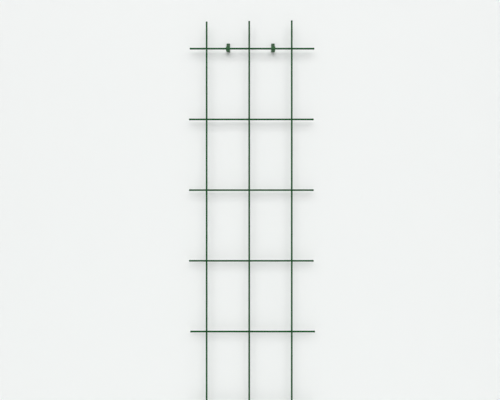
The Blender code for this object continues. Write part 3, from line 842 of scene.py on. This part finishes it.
def corner_cutters(holders, lip_front, top, radius, near, far):
    """What rounds the two top corners of a face seen from the front, between two distances."""
    half = holders.plate_width / 2
    outer, upper = half + BACK, top + BACK
    outline = arc((half - radius, top - radius), radius, 0, 90)
    outline += [(half - radius, upper), (outer, upper), (outer, top - radius)]
    cutters = []
    for side in (-1, 1):
        cutter = prism("corner", [(side * a, b) for a, b in outline], "Y", -far, -near)
        for vert in cutter.vertices:
            vert.co.x += side * (half_width(holders, lip_front, -vert.co.y) - half)
        cutters.append(cutter)
    return cutters


def holder_gusset(holders, wires):
    """The rib between the plate and the arm, with a hollow front edge and rounded sides."""
    seat = seat_radius(holders, wires)
    plate, base = holders.plate_thickness, holders.arm_top
    end = wires.stand_off - seat - holders.seat_back - GUSSET_SHORT
    outline = [(plate / 2, base - plate / 2), (end, base - plate / 2), (end, base)]
    for step in range(1, GUSSET_STEPS):
        angle = math.pi / 2 * step / GUSSET_STEPS
        height = base + holders.gusset_rise * (1 - math.cos(angle))
        outline.append((end - (end - plate) * math.sin(angle), height))
    rise = base + holders.gusset_rise
    outline += [(plate, rise), (plate / 2, rise)]
    return worked(side_prism("gusset", outline, holders.gusset), ("BEVEL", GUSSET_EDGE))


def arm_pockets(holders, wires):
    """The hollows in the arm's two sides, which leave a web, and the ejectors' marks on the web."""
    seat = seat_radius(holders, wires)
    radius = holders.pocket_height / 2
    near = holders.plate_thickness + POCKET_SHORT + radius
    far = wires.stand_off - seat - holders.seat_back - radius
    fall = math.tan(underside_slope(holders, wires))
    near_middle = (holders.arm_top - holders.plate_below_rail + near * fall) / 2
    far_middle = near_middle + (far - near) * fall / 2
    outline = arc((near, near_middle), radius, 270, 90) + arc((far, far_middle), radius, 90, -90)
    pockets, marks = [], []
    for side in (-1, 1):
        middle = side * (holders.web + holders.hook_width) / 2
        pockets.append(side_prism("pocket", outline, holders.hook_width, middle))
        mark = rod("mark", MARK_RADIUS, -MARK_HALF, MARK_HALF, MARK_SIDES)
        mark.transform(Matrix.Rotation(math.pi / 2, 4, "Y"))
        depth = side * (holders.web / 2 + MARK_HALF - MARK_DEPTH)
        mark.transform(Matrix.Translation((depth, -(near + far) / 2, (near_middle + far_middle) / 2)))
        marks.append(mark)
    return joined(pockets), joined(marks)


def holder_mesh(holders, wires, fixings):
    """The moulded holder. Its origin is on the wall, at the height of the rail's middle line."""
    lip_front = wires.stand_off + wires.rail_diameter / 2 + holders.seat_gap + holders.hook_thickness
    top = holders.screw_above_rail + holders.plate_above_screw
    body = side_prism("wall_holder", holder_outline(holders, wires), holders.plate_width)
    for vert in body.vertices:
        vert.co.x = math.copysign(half_width(holders, lip_front, -vert.co.y), vert.co.x)
    between = (holders.plate_thickness + wires.stand_off) / 2
    corners = corner_cutters(holders, lip_front, top, holders.plate_corner, -2 * BACK, between)
    corners += corner_cutters(
        holders, lip_front, holders.lip_height, holders.lip_corner, wires.stand_off, lip_front + BACK
    )
    reach = 2 * top
    square = [(-reach, -reach), (reach, -reach), (reach, reach), (-reach, reach)]
    behind_wall = prism("behind_wall", square, "Y", 0, 2 * BACK)
    parting = side_prism("parting", holder_outline(holders, wires, holders.flash), FLASH_WIDTH)
    pockets, marks = arm_pockets(holders, wires)
    return worked(
        body,
        ("BEVEL", holders.edge),
        ("DIFFERENCE", joined(corners)),
        ("UNION", parting),
        ("DIFFERENCE", behind_wall),
        ("UNION", holder_gusset(holders, wires)),
        ("DIFFERENCE", pockets),
        ("DIFFERENCE", marks),
        ("DIFFERENCE", screw_hole(holders, fixings)),
    )


def screw_hole(holders, fixings):
    """The countersunk hole through the plate, with its edge eased and a relief behind for the plug."""
    bore = fixings.shank_diameter / 2 + SCREW_ROOM
    sink = fixings.head_diameter / 2 + SINK_ROOM + SCREW_ROOM * math.sqrt(2)
    relief = fixings.plug_diameter / 2 + RELIEF_ROOM
    face, (across, inwards) = holders.plate_thickness, SINK_EDGE
    profile = [
        (0, -BACK),
        (relief, -BACK),
        (relief, RELIEF_DEPTH),
        (bore, RELIEF_DEPTH),
        (bore, face - (sink - bore)),
        (sink, face),
        (sink + across, face + inwards),
        (sink + across, face + BACK),
        (0, face + BACK),
    ]
    hole = turned("screw_hole", profile, HOLE_SIDES)
    hole.transform(Matrix.Rotation(math.pi / 2, 4, "X"))
    hole.transform(Matrix.Translation((0, 0, holders.screw_above_rail)))
    return hole


class TRELLIS_OT_holders(bpy.types.Operator):
    """Build the four moulded holders that carry the top and bottom rails"""

    bl_idname = "trellis.holders"
    bl_label = "Wall holders"
    bl_options = {"REGISTER", "UNDO"}

    def execute(self, context):
        scene = context.scene
        holders, wires = scene.trellis_holders, scene.trellis_wires
        material = moulding("moulded_holder", holders, wires)
        shape = holder_mesh(holders, wires, scene.trellis_fixings)
        for node in HOLDERS:
            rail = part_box(node)[1].z - holders.screw_above_rail - holders.plate_above_screw
            place = (middle_of(node).x, 0, rail)
            add_piece("moulded_", shape.copy(), material, node, "wall_fixings", place)
        return {"FINISHED"}


# The screws and plugs

SCREW_SIDES, RINGS_PER_TURN = 28, 8
THREAD_FOOT, THREAD_CURVE = 0.30, 1.3  # half a crest's width in turns, and how hollow its sides are
RUN_OUT_TURNS, RUN_OUT_START = 2, 0.25  # where the thread dies away, and the least it stands out
SWELL, SWELL_START, SWELL_END = 0.6, 0.0006, 0.0014  # how the core becomes the shank, past the thread
NECK_SHORT = 0.0004  # from the head's cone to the last ring of the shank
SOFT_EDGE = 0.0001  # the rounding of the head's edges
INNER_RING = 0.6  # on the head's face, as a share of its radius
FIRST_TURN, NEXT_TURN = 0.5, 1.1  # how the screws happen to stand in their holes, in radians
RECESS_FLOOR, RECESS_RISE = 0.18, 0.002  # half the floor's width in spans, and the cutter's top

PLUG_SIDES = 56
COLLAR_EDGE, COLLAR_THICKNESS = 0.0002, 0.0008
FIRST_RING, NOSE_LENGTH, RING_COUNT = 0.010, 0.004, 4
RING_SHAPE = ((0.0, 0.0), (0.10, 0.80), (0.15, 1.0), (0.22, 0.95), (0.6, 0.42))  # (along, out)
NOSE_SHAPE = ((0.0002, 0.0020), (0.0004, 0.0037), (0.0006, NOSE_LENGTH))  # (in, along)
FIN_START, FIN_LENGTH, FIN_REACH = 0.0004, 0.008, 0.0011
FIN_HALF, FIN_EDGE = 0.0004, 0.00012


def screw_mesh(fixings):
    """A threaded countersunk screw along Z, its head up, from the wall plane at height 0."""
    shank, core = fixings.shank_diameter / 2, fixings.core_diameter / 2
    head, rim = fixings.head_diameter / 2, fixings.head_rim
    tip = SCREW_FACE - SCREW_LENGTH
    thread_end = tip + SCREW_LENGTH * fixings.thread_share
    neck = SCREW_FACE - rim - (head - shank)
    angles = all_round(SCREW_SIDES)
    rows = []
    count = math.ceil((thread_end - tip) / (fixings.thread_pitch / RINGS_PER_TURN))
    for step in range(1, count + 1):
        height = tip + (thread_end - tip) * step / count
        taper = min(1.0, (height - tip) / fixings.point_length)
        run_out = min(1.0, (thread_end - height) / (RUN_OUT_TURNS * fixings.thread_pitch))
        phase = (height / fixings.thread_pitch - angles / (2 * math.pi)) % 1.0
        crest = np.maximum(0, 1 - np.abs(phase - 0.5) / THREAD_FOOT) ** THREAD_CURVE
        radius = taper * (core + (shank - core) * crest * min(1.0, RUN_OUT_START + run_out))
        rows.append(ring(angles, radius, height))
    plain = [
        (core + (shank - core) * SWELL, thread_end + SWELL_START),
        (shank, thread_end + SWELL_END),
        (shank, neck - NECK_SHORT),
        (shank + SOFT_EDGE, neck),
        (head - SOFT_EDGE, SCREW_FACE - rim - SOFT_EDGE),
        (head, SCREW_FACE - rim),
        (head, SCREW_FACE - SOFT_EDGE),
        (head - SOFT_EDGE, SCREW_FACE),
        (head * INNER_RING, SCREW_FACE),
    ]
    rows += [ring(angles, radius, height) for radius, height in plain]
    blank = loft("screw", rows, (0, 0, tip), (0, 0, SCREW_FACE))
    return worked(blank, ("DIFFERENCE", cross_recess(fixings)))


def cross_recess(fixings):
    """Two tapered slots that cross, as one skin."""
    half, bottom = fixings.recess_span / 2, fixings.recess_span * RECESS_FLOOR
    floor, above = SCREW_FACE - fixings.recess_depth, SCREW_FACE + RECESS_RISE
    outline = [(-half, above), (-half, SCREW_FACE), (-bottom, floor), (bottom, floor)]
    outline += [(half, SCREW_FACE), (half, above)]
    wide = fixings.recess_slot / 2
    one = prism("recess", outline, "Y", -wide, wide)
    other = prism("recess", outline, "X", -wide, wide)
    return worked(one, ("UNION", other))


class TRELLIS_OT_screws(bpy.types.Operator):
    """Build the four countersunk screws"""

    bl_idname = "trellis.screws"
    bl_label = "Screws"
    bl_options = {"REGISTER", "UNDO"}

    def execute(self, context):
        fixings = context.scene.trellis_fixings
        material = lacquered_screw("screw_lacquer_and_zinc", fixings)
        shape = screw_mesh(fixings)
        for index, node in enumerate(SCREWS):
            mesh = shape.copy()
            mesh.transform(Matrix.Rotation(FIRST_TURN + NEXT_TURN * index, 4, "Z"))
            mesh.transform(Matrix.Rotation(math.pi / 2, 4, "X"))
            place = (middle_of(node).x, 0, middle_of(node).z)
            add_piece("threaded_", mesh, material, node, "wall_fixings", place)
        return {"FINISHED"}


def plug_profile(fixings):
    """The plug's outside as (radius, depth): an eased collar, rounded sawtooth rings and a nose."""
    radius, collar = fixings.plug_diameter / 2, fixings.plug_diameter / 2 + fixings.plug_collar
    under, edge = PLUG_START + COLLAR_THICKNESS, COLLAR_EDGE
    profile = [(0, PLUG_START), (collar - edge, PLUG_START), (collar, PLUG_START + edge)]
    profile += [(collar, under - edge), (collar - edge, under), (radius, under)]
    first, nose = PLUG_START + FIRST_RING, PLUG_END - NOSE_LENGTH
    pitch = (nose - first) / RING_COUNT
    for index in range(RING_COUNT):
        foot = first + pitch * index
        for along, out in RING_SHAPE:
            profile.append((radius + fixings.plug_ring * out, foot + along * pitch))
    profile.append((radius, nose))
    profile += [(radius - inwards, nose + along) for inwards, along in NOSE_SHAPE]
    return profile + [(0, PLUG_END)]


def plug_fins(fixings):
    """Two fins under the collar that stop the plug turning in its hole, as one cross piece."""
    radius = fixings.plug_diameter / 2
    reach, top = radius + FIN_REACH, PLUG_START + FIN_START
    end = top + FIN_LENGTH
    right = [(radius, top), (reach, top + FIN_REACH), (reach, end - FIN_REACH), (radius, end)]
    left = [(-across, depth) for across, depth in reversed(right)]
    return worked(prism("fins", right + left, "Y", -FIN_HALF, FIN_HALF), ("BEVEL", FIN_EDGE))


def plug_mesh(fixings):
    """A wall plug along Z, from the wall plane at height 0 into the wall."""
    low, high, first = PLUG_START - BACK, PLUG_END + BACK, PLUG_START + FIRST_RING
    blank = turned("plug", plug_profile(fixings), PLUG_SIDES)
    hole = rod("bore", fixings.plug_bore / 2, low, high, PLUG_SIDES)
    across = fixings.plug_diameter
    outline = [(-across, first), (across, first), (across, high), (-across, high)]
    split = prism("split", outline, "Y", -fixings.plug_split / 2, fixings.plug_split / 2)
    fins = plug_fins(fixings)
    return worked(blank, ("UNION", fins), ("DIFFERENCE", hole), ("DIFFERENCE", split))


class TRELLIS_OT_plugs(bpy.types.Operator):
    """Build the four nylon wall plugs"""

    bl_idname = "trellis.plugs"
    bl_label = "Wall plugs"
    bl_options = {"REGISTER", "UNDO"}

    def execute(self, context):
        fixings = context.scene.trellis_fixings
        material = nylon("ribbed_nylon", fixings)
        shape = plug_mesh(fixings)
        shape.transform(Matrix.Rotation(-math.pi / 2, 4, "X"))
        for node in PLUGS:
            place = (middle_of(node).x, 0, middle_of(node).z)
            add_piece("ribbed_", shape.copy(), material, node, "wall_fixings", place)
        return {"FINISHED"}


# The stage

STAGE_SIDE, STAGE_TOP, STAGE_FRONT, STAGE_BACK = 3.2, 2.4, -4.5, 3.0
WALL_FACE = 0.00015  # the wall lies this far behind the holders' backs
FLOOR_BELOW = 0.03  # the uprights' feet
LAMP_SIZE, LAMP_PLACE, LAMP_AIM = (10.5, 5.25), (0.0, -5.425, 4.5), (0.0, 0.0, 0.125)
SKY_TINT = (0.97, 0.985, 1.0)
SKY_LOW, SKY_HIGH, SKY_BELOW = -0.3, 0.5, 0.2  # it dims between these slopes, to this share
CAMERA_RIGHT, CAMERA_HEIGHT = -0.0047, 0.2150
SENSOR_WIDTH = 36.0
NEAREST_SEEN, FARTHEST_SEEN = 0.05, 50.0


def stage_sheet(name, corners, tint):
    """A plain pale sheet that can't be seen from behind, so that the trellis shows from there too."""
    mesh = bpy.data.meshes.new(name)
    mesh.from_pydata(corners, [], [(0, 1, 2, 3)])
    f = Finish(name)
    mesh.materials.append(f.set(Base_Color=tint, Roughness=0.9, Specular_IOR_Level=0.2))
    behind = f.node("ShaderNodeNewGeometry", {}, "Backfacing")
    clear = f.node("ShaderNodeBsdfTransparent", {})
    surface = f.node("ShaderNodeMixShader", {0: behind, 1: f.shader.outputs[0], 2: clear})
    f.feed(f.tree.nodes["Material Output"].inputs["Surface"], surface)
    sheet = bpy.data.objects.new(name, mesh)
    bpy.context.scene.collection.objects.link(sheet)


def pale_world(scene, strength, tint):
    """Soft light from all round, weaker from below, and a plain pale background behind everything."""
    scene.world = bpy.data.worlds.new("pale_world")
    sky = Nodes(scene.world)
    light = sky.tree.nodes["Background"]
    way = sky.node("ShaderNodeTexCoord", {}, "Generated")
    slope = sky.node("ShaderNodeSeparateXYZ", {0: way}, "Z")
    sky.feed(light.inputs["Color"], SKY_TINT)
    bright = sky.ranged(slope, SKY_LOW, SKY_HIGH, SKY_BELOW * strength, strength)
    sky.feed(light.inputs["Strength"], bright)
    shown = sky.node("ShaderNodeBackground", {"Color": tint})
    seen = sky.node("ShaderNodeLightPath", {}, "Is Camera Ray")
    mirrored = seen.node.outputs["Is Glossy Ray"]
    either = sky.most(seen, mirrored)
    surface = sky.node("ShaderNodeMixShader", {0: either, 1: light.outputs[0], 2: shown})
    sky.feed(sky.tree.nodes["World Output"].inputs["Surface"], surface)


def soft_lamp(power):
    """One wide, tall soft lamp, above and in front, as even as an open sky."""
    lamp = bpy.data.lights.new("soft_lamp", "AREA")
    lamp.shape = "RECTANGLE"
    lamp.size, lamp.size_y = LAMP_SIZE
    lamp.energy = power
    body = bpy.data.objects.new("soft_lamp", lamp)
    body.location = LAMP_PLACE
    aim = Vector(LAMP_AIM) - body.location
    body.rotation_euler = aim.to_track_quat("-Z", "Y").to_euler()
    bpy.context.scene.collection.objects.link(body)


def add_camera(scene, stage, wires):
    """Square on to the wall, a little above the middle, as in the photograph."""
    camera = bpy.data.cameras.new("camera")
    camera.lens, camera.sensor_width = stage.lens, SENSOR_WIDTH
    camera.clip_start, camera.clip_end = NEAREST_SEEN, FARTHEST_SEEN
    body = bpy.data.objects.new("camera", camera)
    body.location = (CAMERA_RIGHT, -wires.stand_off - stage.distance, CAMERA_HEIGHT)
    body.rotation_euler = (math.pi / 2, stage.roll, 0.0)
    scene.collection.objects.link(body)
    scene.camera = body


class TRELLIS_OT_stage(bpy.types.Operator):
    """Build the pale wall and floor, the soft light and the camera"""

    bl_idname = "trellis.stage"
    bl_label = "Stage"
    bl_options = {"REGISTER", "UNDO"}

    def execute(self, context):
        scene = context.scene
        stage = scene.trellis_stage
        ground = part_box(UPRIGHTS[0])[0].z - FLOOR_BELOW
        along = (-STAGE_SIDE, STAGE_SIDE)
        wall = [(x, WALL_FACE, ground) for x in along] + [(-x, WALL_FACE, STAGE_TOP) for x in along]
        floor = [(x, STAGE_FRONT, ground) for x in along] + [(-x, STAGE_BACK, ground) for x in along]
        stage_sheet("stage_wall", wall, stage.wall)
        stage_sheet("stage_floor", floor, stage.floor)
        pale_world(scene, stage.sky, stage.wall)
        soft_lamp(stage.lamp)
        add_camera(scene, stage, scene.trellis_wires)
        scene.view_settings.view_transform = "Standard"
        return {"FINISHED"}


class TRELLIS_PT_sidebar(bpy.types.Panel):
    """The trellis's pieces and their settings"""

    bl_label = "Garden trellis"
    bl_idname = "TRELLIS_PT_sidebar"
    bl_space_type = "VIEW_3D"
    bl_region_type = "UI"
    bl_category = "Trellis"

    def draw(self, context):
        """One box of settings and buttons for each section."""
        for title, group, operators in SECTIONS:
            box = self.layout.box()
            box.label(text=title)
            settings = getattr(context.scene, group)
            for name in settings.bl_rna.properties.keys():
                if name not in {"rna_type", "name"}:
                    box.prop(settings, name)
            for operator in operators:
                box.operator(operator.bl_idname)


GROUPS = {
    "trellis_wires": TrellisWires,
    "trellis_holders": TrellisHolders,
    "trellis_fixings": TrellisFixings,
    "trellis_stage": TrellisStage,
}
SECTIONS = [
    ("Wires", "trellis_wires", [TRELLIS_OT_uprights, TRELLIS_OT_rails]),
    ("Holders", "trellis_holders", [TRELLIS_OT_holders]),
    ("Screws and plugs", "trellis_fixings", [TRELLIS_OT_screws, TRELLIS_OT_plugs]),
    ("Stage", "trellis_stage", [TRELLIS_OT_stage]),
]
OPERATORS = [operator for _, _, operators in SECTIONS for operator in operators]


def register():
    """Adds the trellis's settings, operators and panel."""
    for name, group in GROUPS.items():
        bpy.utils.register_class(group)
        setattr(bpy.types.Scene, name, PointerProperty(type=group))
    for operator in OPERATORS:
        bpy.utils.register_class(operator)
    bpy.utils.register_class(TRELLIS_PT_sidebar)


def unregister():
    """Takes them out again."""
    bpy.utils.unregister_class(TRELLIS_PT_sidebar)
    for operator in reversed(OPERATORS):
        bpy.utils.unregister_class(operator)
    for name, group in reversed(GROUPS.items()):
        delattr(bpy.types.Scene, name)
        bpy.utils.unregister_class(group)


def main():
    """Builds the trellis."""
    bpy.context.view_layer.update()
    register()
    bpy.ops.trellis.stage()
    bpy.ops.trellis.uprights()
    bpy.ops.trellis.rails()
    bpy.ops.trellis.holders()
    bpy.ops.trellis.screws()
    bpy.ops.trellis.plugs()


if __name__ == "__main__":
    main()
